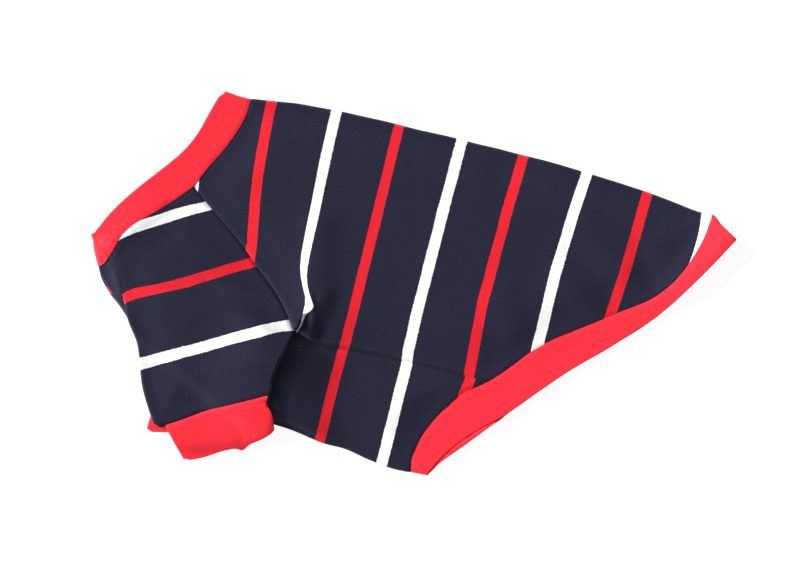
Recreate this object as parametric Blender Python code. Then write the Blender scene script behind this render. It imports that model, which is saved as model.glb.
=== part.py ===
"""A small dog's t-shirt in striped sweatshirt knit, laid flat on its side.

The neck points to -X, the tail to +X and the folded back edge to +Y. The shirt lies on Z = 0, the origin is
under the middle of its outline, and the left side of the shirt is up. Each piece is a wall of cloth through
points that are worked out from its outline, in millimetres, and made metres at the end.

"Near" is the upper half of the flattened shirt and "far" is the half on the table. A layer's height counts
the layers of cloth that it lies on. Where layers end, the ones above slope down to the table.
"""

import bmesh
import bpy
import numpy as np

METRES = 0.001

# Cloth
JERSEY = 1.4  # thickness of the knit
RIB = 1.7  # thickness of the ribbed bands, which are folded double
LAYER = 2.0  # height from one layer of cloth to the next
SEAM_GAP = 0.3
REST_MARGIN = 6.0  # a layer stays level this far past the edge of what it lies on
REST_REACH = 22.0  # and is down again after this much more
ROLL_HEIGHT = 0.8  # folded edges stand this much fuller than the flat cloth
ROLL_REACH = 16.0
BAND_ROUND = 0.6  # the bands' free edges are rounded out by this
THROAT_LAYERS = 3  # the neckband bends round this many layers at the throat

# Steps along each line of the mesh
RAGLAN_STEPS = 15
BELLY_SEAM_STEPS = 15
NECK_BACK_STEPS = 9
NECK_SLEEVE_STEPS = 10
NECK_CHEST_STEPS = 2
BACK_DEPTH_STEPS = 17
BELLY_DEPTH_STEPS = 8
SLEEVE_LENGTH_STEPS = 14
BAND_WIDTH_STEPS = 3
CUFF_STEPS = 10
FOLD_STEPS = 4

# Lines of the flat shirt. Each row is (along the back, across it), from the back fold's neck end.
BACK_FOLD = [(0.6, 0.3), (20, 3.3), (46, 6.1), (75, 7.8), (120, 8.6), (180, 9.1), (240, 8.5), (285, 6.6),
             (330, 3), (355, -0.7), (368.9, -1.2)]
NECK_BACK = [(0.6, 0.3), (-0.2, -13.9), (-4, -27.7), (-9.8, -42.2), (-17.5, -57), (-26, -76)]
NECK_SLEEVE = [(-26, -76), (-34.5, -86), (-49.8, -102.7), (-66.2, -119.6), (-71, -127.8),
               (-72.1, -134.4), (-75, -144.3)]
NECK_CHEST = [(-75, -144.3), (-77.3, -149.3), (-82, -154)]
RAGLAN_BACK = [(-26, -76), (-13.4, -86.1), (-5.8, -91.4), (25.5, -114.5), (37.4, -125.3),
               (58.1, -143), (70.9, -157.6), (77.5, -166)]
RAGLAN_FRONT = [(-75, -144.3), (0, -158), (77.5, -166)]
BELLY_SEAM = [(77.5, -166), (90.5, -170), (138, -169.5), (189, -168), (232.5, -168)]
BELLY_FOLD = [(-82, -154), (-78.8, -160), (-73.8, -164.8), (-60, -176.8), (-48, -186), (0, -207),
              (45, -229), (70, -238.5), (98.5, -241.6), (118.6, -245), (137.8, -245.6), (157.7, -248.8),
              (177.7, -251), (190.5, -250.5)]
HEM_BACK = [(368.9, -1.2), (368.4, -12.1), (362.8, -35.8), (353.7, -57.2), (342.9, -72), (318.8, -90.8),
            (294.6, -108.5), (270.4, -126.8), (258.8, -137.8), (248, -151.2), (232.5, -168)]
HEM_BELLY = [(232.5, -168), (215.5, -181.4), (202.8, -200), (193.5, -219.9), (189.6, -239),
             (190.5, -250.5)]
HEM_OUTER = [(391.2, -14.8), (378, -38.3), (367.8, -55.2), (352.4, -79.7), (318.7, -117.8),
             (289.8, -146), (274.5, -163), (247.5, -193.5), (232.3, -207.3), (213, -231), (203.4, -249)]
FAR_HEM_OUTER = [(391.2, -14.8), (378, -38.3), (367.8, -55.2), (352.4, -79.7), (318.7, -117.8),
                 (289.8, -146.1), (267.3, -171.5), (250.6, -191.1), (228.5, -217.5), (206.8, -244.2),
                 (203, -250.5)]
NECK_OUTER = [(-22.3, 0.3), (-25, -7.5), (-28.8, -20.8), (-32.6, -34.5), (-39, -48.9), (-49.6, -64.3),
              (-62.2, -80.3), (-73.6, -96), (-82.8, -111), (-89.6, -125.4), (-93.8, -134)]

# The near sleeve and its cuff, seen from above
NEAR_SLEEVE_FRONT = [(-75, -144.3), (-67.8, -153.4), (-62.8, -162.6), (-57.5, -172.4), (-49, -188.6),
                     (-37.8, -204.8), (-34.4, -213.6), (-26.4, -236), (-17.3, -252.2), (-10.6, -262.6)]
NEAR_SLEEVE_REAR = [(77.5, -166), (74.2, -181), (71.2, -195), (70, -205), (71, -217), (70.7, -222)]
NEAR_CUFF_SEAM = [(-10.6, -262.6), (-6.7, -263.4), (-2.6, -261.1), (6.2, -255.9), (15.8, -249.6),
                  (25.5, -243.5), (36.3, -238.3), (57.8, -227.9), (70.7, -222)]
NEAR_CUFF_EDGE = [(18.4, -284.6), (31.9, -278.3), (48.4, -268.3), (64.4, -260), (73.2, -252.9),
                  (82.4, -243.6)]

# The far sleeve and its cuff, which turn a little further forward
FAR_SLEEVE_FRONT = [(-82, -154), (-79.2, -161.4), (-74.4, -167.2), (-69, -172.7), (-60.6, -179.2),
                    (-48, -191), (-33, -209), (-23, -226), (-15.5, -242)]
FAR_SLEEVE_REAR = [(77.5, -166), (74.2, -181), (71.2, -195), (69, -209), (68, -222)]
FAR_CUFF_SEAM = [(-15.5, -242), (26, -233), (68, -222)]
FAR_CUFF_EDGE = [(-16, -270), (-5, -267.3), (20, -262), (70, -245)]

# Soft ridges in the near layer: where each starts and ends, its height and half its width
RIDGES = [
    # start, end, height, half_width
    ((80, -90), (90, -156), 2.4, 20.0),  # up from the armpit
    ((266, -38), (306, -67), 2.0, 20.0),  # towards the hem band
    ((326, -14), (343, -44), 1.6, 18.0),  # by the tail
    ((232, -96), (268, -118), 1.6, 22.0),  # above the belly seam's rear end
    ((152, -196), (160, -228), 1.4, 20.0),  # on the belly
]

ARMPIT = np.array(RAGLAN_BACK[-1], float)
UP = np.array([0.0, 0.0, 1.0])

# Looks
COLOURS = {
    "navy": (0.022, 0.022, 0.047),
    "red": (0.83, 0.03, 0.05),
}
CLOTH_ROUGHNESS = 0.9


def smooth_line(points, steps):
    """Evenly spaced points on a smooth curve through the given ones."""
    points = np.array(points, float)
    chords = np.hypot(*np.diff(points, axis=0).T)
    knots = np.concatenate([[0.0], np.cumsum(chords)])
    slopes = np.gradient(points, knots, axis=0)
    dense = np.linspace(0.0, knots[-1], 40 * len(points))
    span = np.clip(np.searchsorted(knots, dense, side="right") - 1, 0, len(chords) - 1)
    width = chords[span][:, None]
    part = ((dense - knots[span]) / chords[span])[:, None]
    curve = (
        points[span] * (1 + 2 * part) * (1 - part) ** 2
        + slopes[span] * width * part * (1 - part) ** 2
        + points[span + 1] * part**2 * (3 - 2 * part)
        + slopes[span + 1] * width * part**2 * (part - 1)
    )
    return even(curve, steps)


def even(line, steps):
    """The same line with evenly spaced points."""
    lengths = np.concatenate([[0.0], np.cumsum(np.hypot(*np.diff(line, axis=0).T))])
    places = np.linspace(0.0, lengths[-1], steps + 1)
    return np.stack([np.interp(places, lengths, line[:, axis]) for axis in (0, 1)], axis=1)


def joined(*lines):
    """Lines that follow one another, as one line without double points."""
    return np.concatenate([lines[0]] + [line[1:] for line in lines[1:]])


def side_normals(line, inside):
    """Unit vectors across a line, pointing away from the given point."""
    along = np.gradient(line, axis=0)
    across = np.stack([along[:, 1], -along[:, 0]], axis=1)
    across /= np.hypot(*across.T)[:, None]
    if np.sum(across * (line - inside)) < 0:
        across = -across
    return across


def patch(top, bottom, left, right):
    """A grid of points between four sides. Rows run from the top side to the bottom one."""
    rows, columns = len(left), len(top)
    down = np.linspace(0, 1, rows)[:, None, None]
    over = np.linspace(0, 1, columns)[None, :, None]
    corners = (
        (1 - down) * (1 - over) * top[0]
        + (1 - down) * over * top[-1]
        + down * (1 - over) * bottom[0]
        + down * over * bottom[-1]
    )
    between_ends = (1 - down) * top[None] + down * bottom[None]
    between_sides = (1 - over) * left[:, None] + over * right[:, None]
    return between_ends + between_sides - corners


def drawn_in(grid, edges):
    """The grid with the named edges moved in by half a seam gap."""
    grid = grid.copy()
    for edge in edges:
        outer, inner = {
            "top": (grid[0], grid[1]),
            "bottom": (grid[-1], grid[-2]),
            "left": (grid[:, 0], grid[:, 1]),
            "right": (grid[:, -1], grid[:, -2]),
        }[edge]
        inwards = inner - outer
        outer += inwards / np.hypot(*inwards.T).T[:, None] * SEAM_GAP / 2
    return grid


def distance_outside(points, outline):
    """How far each point lies outside a closed outline. Points inside it are at 0."""
    flat = points.reshape(-1, 2)
    starts, ends = outline, np.roll(outline, -1, axis=0)
    runs = ends - starts
    offsets = flat[:, None] - starts[None]
    share = np.clip(np.sum(offsets * runs, axis=2) / np.sum(runs**2, axis=1), 0, 1)
    nearest = np.linalg.norm(offsets - share[:, :, None] * runs, axis=2).min(axis=1)
    spans = (starts[:, 1] > flat[:, None, 1]) != (ends[:, 1] > flat[:, None, 1])
    rise = np.where(runs[:, 1] == 0, 1.0, runs[:, 1])
    crossing = starts[:, 0] + offsets[:, :, 1] / rise * runs[:, 0] > flat[:, None, 0]
    inside = np.sum(spans & crossing, axis=1) % 2 == 1
    return np.where(inside, 0.0, nearest).reshape(points.shape[:-1])


def eased(share):
    """0 to 1 with a soft start and a soft end."""
    share = np.clip(share, 0, 1)
    return share * share * (3 - 2 * share)


def presence(points, outline):
    """1 over an outline, and falling softly to 0 past its edge."""
    return 1 - eased((distance_outside(points, outline) - REST_MARGIN) / REST_REACH)


def far_sleeve_outline():
    """The far sleeve and cuff below the front raglan seam."""
    return np.array(
        RAGLAN_FRONT + FAR_SLEEVE_REAR[1:] + FAR_CUFF_EDGE[::-1] + FAR_SLEEVE_FRONT[:0:-1], float
    )


def belly_outline():
    """Both belly layers, below the front raglan seam and the belly seam."""
    return np.array(
        RAGLAN_FRONT + BELLY_SEAM[1:] + HEM_BELLY[1:] + BELLY_FOLD[-2::-1], float
    )


def near_sleeve_outline():
    return np.array(
        RAGLAN_FRONT + NEAR_SLEEVE_REAR[1:] + NEAR_CUFF_EDGE[::-1] + NEAR_SLEEVE_FRONT[-2:0:-1], float
    )


def over_far_sleeve(points):
    return presence(points, far_sleeve_outline())


def over_belly(points):
    return presence(points, belly_outline())


def armpit_turn(points):
    """0 along the belly seam and 1 along the raglan seam, turning about the armpit."""
    offsets = points - ARMPIT
    angles = np.arctan2(offsets[..., 1], offsets[..., 0])
    raglan = np.array(RAGLAN_BACK[-2]) - ARMPIT
    turn = eased(angles / np.arctan2(raglan[1], raglan[0]))
    at_armpit = np.hypot(offsets[..., 0], offsets[..., 1]) < SEAM_GAP
    return np.where(at_armpit, 0.5, turn)


def beside(points, line, reach):
    """1 on a line, and falling softly to 0 at this reach from it."""
    there_and_back = np.array(line + line[-2:0:-1], float)
    return 1 - eased(distance_outside(points, there_and_back) / reach)


def fullness(points, fold):
    """How much the near layer stands up from the one below: along its folded edge, and in soft ridges."""
    lift = ROLL_HEIGHT * beside(points, fold, ROLL_REACH)
    for start, end, height, half_width in RIDGES:
        lift = lift + height * beside(points, [start, end], half_width)
    return lift


def raised(grid, layers, thickness):
    """Points in space, on the middle of a cloth that lies on this many layers."""
    heights = layers * LAYER + thickness / 2
    return np.concatenate([grid, heights[..., None]], axis=-1)


def bent_round(upper, lower, outwards, steps=FOLD_STEPS):
    """The rows of a half-round fold between an upper edge and a lower one, and their normals."""
    centre = (upper + lower) / 2
    radius = (upper[:, 2:] - lower[:, 2:]) / 2
    outwards = np.concatenate([outwards, np.zeros((len(outwards), 1))], axis=1)
    rows, normals = [], []
    for step in range(1, steps):
        angle = np.pi * step / steps
        normal = np.sin(angle) * outwards + np.cos(angle) * UP
        rows.append(centre + radius * normal)
        normals.append(normal)
    return np.array(rows), np.array(normals)


def level_normals(grid, sign):
    return np.broadcast_to(sign * UP, grid.shape)


def folded_sheet(near, far, outwards):
    """A sheet folded along the last row of its near half: near rows, fold, then far rows backwards."""
    fold, fold_normals = bent_round(near[-1], far[-1], outwards)
    middle = np.concatenate([near, fold, far[::-1]])
    normals = np.concatenate([level_normals(near, 1), fold_normals, level_normals(far, -1)])
    return middle, normals


def flat_tube(near, far, first_outwards, last_outwards):
    """A flattened tube: near rows, a fold at the last row, far rows backwards, a fold at the first row."""
    middle, normals = folded_sheet(near, far, last_outwards)
    back, back_normals = bent_round(near[0], far[0], first_outwards)
    return np.concatenate([middle, back[::-1]]), np.concatenate([normals, back_normals[::-1]])


def wall_mesh(name, middle, normals, thickness, closed, rounded=0.0):
    """A wall of cloth about its middle points. Rows wrap round where it is closed."""
    rows, columns = middle.shape[:2]
    layers = [middle + normals * thickness / 2, middle - normals * thickness / 2]
    number = np.arange(2 * rows * columns).reshape(2, rows, columns)
    points = [layer.reshape(-1, 3) for layer in layers]
    faces = []

    def strip(first, second):
        """Quads between two lines of point numbers."""
        for a, b, c, d in zip(first, first[1:], second[1:], second):
            faces.append((a, b, c, d))

    around = rows if closed else rows - 1
    for side in (0, 1):
        for row in range(around):
            strip(number[side, row], number[side, (row + 1) % rows])
    ring = [row % rows for row in range(around + 1)]
    strip(number[0, ring, 0], number[1, ring, 0])
    if rounded:
        outwards = middle[:, -1] - middle[:, -2]
        outwards /= np.linalg.norm(outwards, axis=1)[:, None]
        points.append(middle[:, -1] + outwards * rounded)
        edge = 2 * rows * columns + np.arange(rows)
        strip(number[0, ring, -1], edge[ring])
        strip(edge[ring], number[1, ring, -1])
    else:
        strip(number[0, ring, -1], number[1, ring, -1])
    if not closed:
        strip(number[0, 0], number[1, 0])
        strip(number[0, -1], number[1, -1])

    mesh = bpy.data.meshes.new(name)
    mesh.from_pydata((np.concatenate(points) * METRES).tolist(), [], faces)
    shaped = bmesh.new()
    shaped.from_mesh(mesh)
    bmesh.ops.recalc_face_normals(shaped, faces=shaped.faces)
    bmesh.ops.triangulate(shaped, faces=shaped.faces, quad_method="SHORT_EDGE")
    shaped.to_mesh(mesh)
    shaped.free()
    mesh.shade_smooth()
    return mesh


def cloth_material(name, colour):
    material = bpy.data.materials.new(name)
    material.use_nodes = True
    shader = material.node_tree.nodes["Principled BSDF"]
    shader.inputs["Base Color"].default_value = (*colour, 1.0)
    shader.inputs["Roughness"].default_value = CLOTH_ROUGHNESS
    shader.inputs["Metallic"].default_value = 0.0
    return material


def torso_half(top, bottom, left, right, fold_side):
    """The grid of half a folded panel, with its fold side drawn in to leave room for the bend."""
    room = LAYER / 2 + JERSEY / 2
    lines = {"top": top, "bottom": bottom}
    outwards = side_normals(lines[fold_side], ARMPIT)
    lines[fold_side] = lines[fold_side] - outwards * room
    left = left.copy()
    right = right.copy()
    end = 0 if fold_side == "top" else -1
    left[end], right[end] = lines[fold_side][0], lines[fold_side][-1]
    return patch(lines["top"], lines["bottom"], left, right), outwards


def back_panel():
    """One piece over the back, folded at the centre back, down to the raglan and belly seams."""
    along = RAGLAN_STEPS + BELLY_SEAM_STEPS
    seam = joined(smooth_line(RAGLAN_BACK, RAGLAN_STEPS), smooth_line(BELLY_SEAM, BELLY_SEAM_STEPS))
    grid, outwards = torso_half(
        smooth_line(BACK_FOLD, along),
        seam,
        smooth_line(NECK_BACK, BACK_DEPTH_STEPS),
        smooth_line(HEM_BACK, BACK_DEPTH_STEPS),
        "top",
    )
    grid = drawn_in(grid, ["bottom", "left", "right"])[::-1]
    sleeve = over_far_sleeve(grid)
    turn = armpit_turn(grid)
    lift = fullness(grid, BACK_FOLD) / LAYER
    near = raised(grid, 1 + 2 * sleeve * (1 + turn) + lift, JERSEY)
    far = raised(grid, 2 * sleeve * (1 - turn), JERSEY)
    return folded_sheet(near, far, outwards)


def belly_panel():
    """One piece under the chest and belly, folded at the centre front, up to the belly seams."""
    along = RAGLAN_STEPS + BELLY_SEAM_STEPS
    seam = joined(smooth_line(RAGLAN_FRONT, RAGLAN_STEPS), smooth_line(BELLY_SEAM, BELLY_SEAM_STEPS))
    grid, outwards = torso_half(
        seam,
        smooth_line(BELLY_FOLD, along),
        smooth_line(NECK_CHEST, BELLY_DEPTH_STEPS),
        smooth_line(HEM_BELLY, BELLY_DEPTH_STEPS),
        "bottom",
    )
    grid = drawn_in(grid, ["top", "left", "right"])
    sleeve = over_far_sleeve(grid)
    lift = fullness(grid, BELLY_FOLD) * (1 - presence(grid, near_sleeve_outline())) / LAYER
    near = raised(grid, 1 + 2 * sleeve + lift, JERSEY)
    far = raised(grid, 2 * sleeve, JERSEY)
    return folded_sheet(near, far, outwards)


def sleeve_grids(neck, front, rear, cuff_seam, inner_seam):
    """Outer and inner layers of a sleeve. Rows run from its front fold to its rear fold."""
    room = LAYER / 2 + JERSEY / 2
    front = smooth_line(front, SLEEVE_LENGTH_STEPS)
    rear = smooth_line(rear, SLEEVE_LENGTH_STEPS)
    front_out = side_normals(front, rear[-1])
    rear_out = side_normals(rear, front[-1])
    front = front - front_out * room
    rear = rear - rear_out * room
    grids = []
    for top in (neck, inner_seam):
        top = top.copy()
        top[0], top[-1] = front[0], rear[0]
        bottom = smooth_line(cuff_seam, len(top) - 1)
        bottom[0], bottom[-1] = front[-1], rear[-1]
        grid = drawn_in(patch(top, bottom, front, rear), ["top", "bottom"])
        grids.append(grid.transpose(1, 0, 2))
    return grids, front_out, rear_out


def sleeve_left():
    """The near sleeve, which lies on the belly panel and the far sleeve."""
    outer_top = joined(
        smooth_line(NECK_SLEEVE, NECK_SLEEVE_STEPS)[::-1], smooth_line(RAGLAN_BACK, RAGLAN_STEPS)
    )
    inner_top = smooth_line(RAGLAN_FRONT, len(outer_top) - 1)
    (outer, inner), front_out, rear_out = sleeve_grids(
        outer_top, NEAR_SLEEVE_FRONT, NEAR_SLEEVE_REAR, NEAR_CUFF_SEAM, inner_top
    )
    lift = fullness(outer, NEAR_SLEEVE_FRONT) / LAYER
    near = raised(outer, 1 + 2 * over_far_sleeve(outer) + 2 * over_belly(outer) + lift, JERSEY)
    far = raised(inner, 2 * over_far_sleeve(inner) + 2 * over_belly(inner), JERSEY)
    return flat_tube(near, far, front_out, rear_out)


def sleeve_right():
    """The far sleeve, flat on the table."""
    outer_top = joined(
        smooth_line(NECK_CHEST, NECK_CHEST_STEPS)[::-1],
        smooth_line(NECK_SLEEVE, NECK_SLEEVE_STEPS)[::-1],
        smooth_line(RAGLAN_BACK, RAGLAN_STEPS),
    )
    inner_top = smooth_line([NECK_CHEST[-1]] + RAGLAN_FRONT[1:], len(outer_top) - 1)
    (outer, inner), front_out, rear_out = sleeve_grids(
        outer_top, FAR_SLEEVE_FRONT, FAR_SLEEVE_REAR, FAR_CUFF_SEAM, inner_top
    )
    near = raised(inner, np.ones(inner.shape[:2]), JERSEY)
    far = raised(outer, np.zeros(outer.shape[:2]), JERSEY)
    return flat_tube(near, far, front_out, rear_out)


def shortened(end, neighbour, room):
    """Moves an end row in, to leave room for the bend past it, and gives the direction outwards."""
    outwards = side_normals(end, neighbour[0])
    inwards = neighbour - end
    inwards /= np.hypot(*inwards.T)[:, None]
    end += inwards * room / np.sum(-outwards * inwards, axis=1)[:, None]
    return outwards


def band_grids(near_seam, near_edge, far_seam, far_edge, last_layers=1):
    """Near and far layers of a ribbed band. Rows run round the opening, columns out to its edge."""
    first_room = LAYER / 2 + RIB / 2
    last_room = last_layers * LAYER / 2 + RIB / 2
    share = np.linspace(0, 1, BAND_WIDTH_STEPS + 1)[None, :, None]
    grids = []
    for seam, edge in ((near_seam, near_edge), (far_seam, far_edge)):
        grid = seam[:, None] * (1 - share) + edge[:, None] * share
        grid = drawn_in(grid, ["left"])
        first = shortened(grid[0], grid[1], first_room)
        last = shortened(grid[-1], grid[-2], last_room)
        grids.append(grid)
    return grids, first, last


def neckband():
    """The ribbed ring at the neck opening."""
    seam = joined(
        smooth_line(NECK_BACK, NECK_BACK_STEPS),
        smooth_line(NECK_SLEEVE, NECK_SLEEVE_STEPS),
        smooth_line(NECK_CHEST, NECK_CHEST_STEPS),
    )
    edge = smooth_line(NECK_OUTER, len(seam) - 1)
    (near, far), first, last = band_grids(seam, edge, seam, edge, THROAT_LAYERS)
    at_sleeve = np.ones((len(near), 1))
    at_sleeve[-NECK_CHEST_STEPS - 1 :, 0] = np.linspace(1, 0, NECK_CHEST_STEPS + 1)
    near = raised(near, 1 + 2 * over_far_sleeve(near) + 2 * over_belly(near) * at_sleeve, RIB)
    far = raised(far, np.zeros(far.shape[:2]), RIB)
    return flat_tube(near, far, first, last)


def hem_band():
    """The ribbed ring round the rear opening."""
    seam = joined(
        smooth_line(HEM_BACK, BACK_DEPTH_STEPS), smooth_line(HEM_BELLY, BELLY_DEPTH_STEPS)
    )
    near_edge = smooth_line(HEM_OUTER, len(seam) - 1)
    far_edge = smooth_line(FAR_HEM_OUTER, len(seam) - 1)
    (near, far), first, last = band_grids(seam, near_edge, seam, far_edge)
    near = raised(near, np.ones(near.shape[:2]), RIB)
    far = raised(far, np.zeros(far.shape[:2]), RIB)
    return flat_tube(near, far, first, last)


def cuff(seam, edge, layers_below):
    """A ribbed ring at the end of a sleeve."""
    seam = smooth_line(seam, CUFF_STEPS)
    edge = smooth_line(edge, CUFF_STEPS)
    (near, far), first, last = band_grids(seam, edge, seam, edge)
    near = raised(near, 1 + layers_below(near), RIB)
    far = raised(far, layers_below(far), RIB)
    return flat_tube(near, far, first, last)


def under_near_cuff(points):
    return 2 * over_far_sleeve(points) + 2 * over_belly(points)


def under_far_cuff(points):
    return np.zeros(points.shape[:2])


def build():
    for old in list(bpy.data.objects):
        bpy.data.objects.remove(old)
    pieces = [
        ("back_panel", back_panel(), "navy"),
        ("belly_panel", belly_panel(), "navy"),
        ("sleeve_left", sleeve_left(), "navy"),
        ("sleeve_right", sleeve_right(), "navy"),
        ("neckband", neckband(), "red"),
        ("hem_band", hem_band(), "red"),
        ("cuff_left", cuff(NEAR_CUFF_SEAM[2:], NEAR_CUFF_EDGE, under_near_cuff), "red"),
        ("cuff_right", cuff(FAR_CUFF_SEAM, FAR_CUFF_EDGE, under_far_cuff), "red"),
    ]
    for name, (middle, normals), colour in pieces:
        banded = colour == "red"
        mesh = wall_mesh(
            name,
            middle,
            normals,
            RIB if banded else JERSEY,
            closed=name not in ("back_panel", "belly_panel"),
            rounded=BAND_ROUND if banded else 0.0,
        )
        mesh.materials.append(cloth_material(name, COLOURS[colour]))
        bpy.context.scene.collection.objects.link(bpy.data.objects.new(name, mesh))
    centre_on_origin()


def centre_on_origin():
    """Moves the shirt so that the origin lies under the middle of its outline."""
    meshes = [piece.data for piece in bpy.context.scene.objects if piece.type == "MESH"]
    corners = np.array([vertex.co for mesh in meshes for vertex in mesh.vertices])
    middle = (corners.min(axis=0) + corners.max(axis=0)) / 2
    for mesh in meshes:
        for vertex in mesh.vertices:
            vertex.co.x -= middle[0]
            vertex.co.y -= middle[1]


build()
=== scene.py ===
"""Looks for a small dog's t-shirt in striped sweatshirt knit, laid flat on its right side.

Every piece of cloth is a thin wall through a grid of points. Lines and heights are in millimetres on the
table, measured from the neck end of the back fold, as in the shirt's own solids, and become metres around
the frame's origin at the end. "Near" is the upper half of the flattened shirt, "far" the half on the table.
"""

import math

import bpy
import numpy as np
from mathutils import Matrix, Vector, noise


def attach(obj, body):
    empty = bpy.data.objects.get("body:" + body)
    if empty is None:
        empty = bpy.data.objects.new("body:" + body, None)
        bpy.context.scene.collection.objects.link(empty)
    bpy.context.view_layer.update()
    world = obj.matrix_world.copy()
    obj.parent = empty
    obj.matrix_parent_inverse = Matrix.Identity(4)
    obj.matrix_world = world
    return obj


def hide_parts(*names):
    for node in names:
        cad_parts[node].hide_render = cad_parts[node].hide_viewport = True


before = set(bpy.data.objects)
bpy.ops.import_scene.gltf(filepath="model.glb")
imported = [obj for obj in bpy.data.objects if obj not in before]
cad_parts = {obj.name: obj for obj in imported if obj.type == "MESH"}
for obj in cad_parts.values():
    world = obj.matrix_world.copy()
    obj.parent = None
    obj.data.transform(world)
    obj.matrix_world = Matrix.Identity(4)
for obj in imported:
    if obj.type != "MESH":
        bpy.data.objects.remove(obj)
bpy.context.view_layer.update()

bpy.ops.object.select_all(action="DESELECT")

MM = 0.001
MIDDLE = (148.83, -137.77)  # the middle of the shirt's outline, where the frame has its origin

# Cloth, in millimetres
JERSEY = 1.4  # thickness of the knit
RIB = 1.7  # thickness of the ribbed bands, folded double
LAYER = 2.0  # height from one layer of cloth to the next
SEAM_GAP = 0.1
NECK_WIDTH, HEM_WIDTH, CUFF_WIDTH = 25.0, 28.0, 32.0  # of the bands
NECK_CORNERS = (7.5, 3.0)  # radii of the corners of the flattened bands, at their starts and ends
HEM_CORNERS = (2.0, 2.5)
CUFF_CORNERS = (6.0, 6.0)

# Meshes. Rows and columns of points lie at a largest step, a finest one at seams and edges, and with
# this much growth away from them.
PANEL_ROWS = (2.0, 0.45, 0.06)
RAGLAN_COLUMNS = (2.0, 0.7, 0.12)
BELLY_COLUMNS = (1.4, 0.7, 0.12)
SLEEVE_ROWS = (2.0, 0.9, 0.2)
SLEEVE_COLUMNS = (1.5, 0.45, 0.16)
BAND_ROWS = (2.0, 0.6, 0.2)
BAND_COLUMNS = (1.6, 0.16, 0.25)
FAR_PANEL_ROWS = (4.5, 1.0, 0.3)  # on the hidden layers
FAR_SLEEVE_ROWS = (4.5, 0.9, 0.2)
FAR_BAND_ROWS = (4.5, 0.6, 0.2)
FOLD_STEPS = 8
FOLD_LENGTH = math.pi * LAYER / 2  # of cloth round a fold
SLEEVE_CORNER_REACH = 12.0  # over this length, lines are moved so that their ends meet
PANEL_CORNER_REACH = 6.0
BACK_ARMPIT, BELLY_ARMPIT = 0.25, 0.53  # shares of the panels' folds that lie level with the armpit
TENTHS = np.linspace(0, 1, 11)
LOOK_AHEAD = 6  # points along a line, to see which way it runs
LEAST_EDGE = 0.02  # share of the thickness that is left at a rounded edge
SHARP_ANGLE = 50.0  # in degrees, between faces that meet at a sharp edge

# Stripes
PITCH = 49.6  # from one stripe to the next, which has the other colour
STRIPE = 8.2  # width of a stripe
EDGE_SOFTNESS = 0.12  # its edges blur over this much to either side

# Lines of the flat shirt. Each row is (along the back, across it).
BACK_FOLD = [(0.6, 0.3), (20, 3.3), (46, 6.1), (75, 7.8), (120, 8.6), (180, 9.1), (240, 8.5), (285, 6.6),
             (330, 3), (355, -0.7), (368.9, -1.2)]
NECK_BACK = [(0.6, 0.3), (-0.2, -13.9), (-4, -27.7), (-9.8, -42.2), (-17.5, -57), (-26, -76)]
NECK_SLEEVE = [(-26, -76), (-34.5, -86), (-49.8, -102.7), (-66.2, -119.6), (-71, -127.8),
               (-72.1, -134.4), (-75, -144.3)]
NECK_CHEST = [(-75, -144.3), (-77.3, -149.3), (-82, -154)]
RAGLAN_BACK = [(-26, -76), (-13.4, -86.1), (-5.8, -91.4), (25.5, -114.5), (37.4, -125.3),
               (58.1, -143), (70.9, -157.6), (77.5, -166)]
RAGLAN_FRONT = [(-75, -144.3), (0, -158), (77.5, -166)]
BELLY_SEAM = [(77.5, -166), (90.5, -170), (138, -169.5), (189, -168), (232.5, -168)]
BELLY_FOLD = [(-82, -154), (-78.8, -160), (-73.8, -164.8), (-60, -176.8), (-48, -186), (0, -207),
              (45, -229), (70, -238.5), (98.5, -241.6), (118.6, -245), (137.8, -245.6), (157.7, -248.8),
              (177.7, -251), (190.5, -250.5)]
HEM_BACK = [(368.9, -1.2), (368.4, -12.1), (362.8, -35.8), (353.7, -57.2), (342.9, -72), (318.8, -90.8),
            (294.6, -108.5), (270.4, -126.8), (258.8, -137.8), (248, -151.2), (232.5, -168)]
HEM_BELLY = [(232.5, -168), (215.5, -181.4), (202.8, -200), (193.5, -219.9), (189.6, -239),
             (190.5, -250.5)]
HEM_OUTER = [(391.2, -14.8), (378, -38.3), (367.8, -55.2), (352.4, -79.7), (318.7, -117.8),
             (289.8, -146), (274.5, -163), (247.5, -193.5), (232.3, -207.3), (213, -231), (203.4, -249)]
FAR_HEM_OUTER = HEM_OUTER[:5] + [(289.8, -146.1), (267.3, -171.5), (250.6, -191.1), (228.5, -217.5),
                                 (206.8, -244.2), (203, -250.5)]
NECK_OUTER = [(-22.3, 0.3), (-25, -7.5), (-28.8, -20.8), (-32.6, -34.5), (-39, -48.9), (-49.6, -64.3),
              (-62.2, -80.3), (-73.6, -96), (-82.8, -111), (-89.6, -125.4), (-93.8, -134)]
NEAR_SLEEVE_FRONT = [(-75, -144.3), (-67.8, -153.4), (-62.8, -162.6), (-57.5, -172.4), (-49, -188.6),
                     (-37.8, -204.8), (-34.4, -213.6), (-26.4, -236), (-17.3, -252.2), (-10.6, -262.6)]
NEAR_SLEEVE_REAR = [(77.5, -166), (74.2, -181), (71.2, -195), (70, -205), (71, -213), (71.4, -217.7)]
NEAR_CUFF_SEAM = [(-10.6, -262.6), (-6.7, -263.4), (-2.6, -261.1), (6.2, -255.9), (15.8, -249.3),
                  (25.5, -242.8), (36.3, -236.9), (53.3, -227.9), (71.4, -217.7)]
NEAR_CUFF_EDGE = [(18.4, -284.6), (31.9, -278.3), (48.4, -268.3),
                  (55.5, -265.4), (60, -265.6), (64.4, -260), (73.2, -252.9), (82.4, -243.6)]
FAR_SLEEVE_FRONT = [(-82, -154), (-79.2, -161.4), (-74.4, -167.2), (-69, -172.7), (-60.6, -179.2),
                    (-48, -191), (-33, -209), (-23, -226), (-15.5, -242)]
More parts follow.
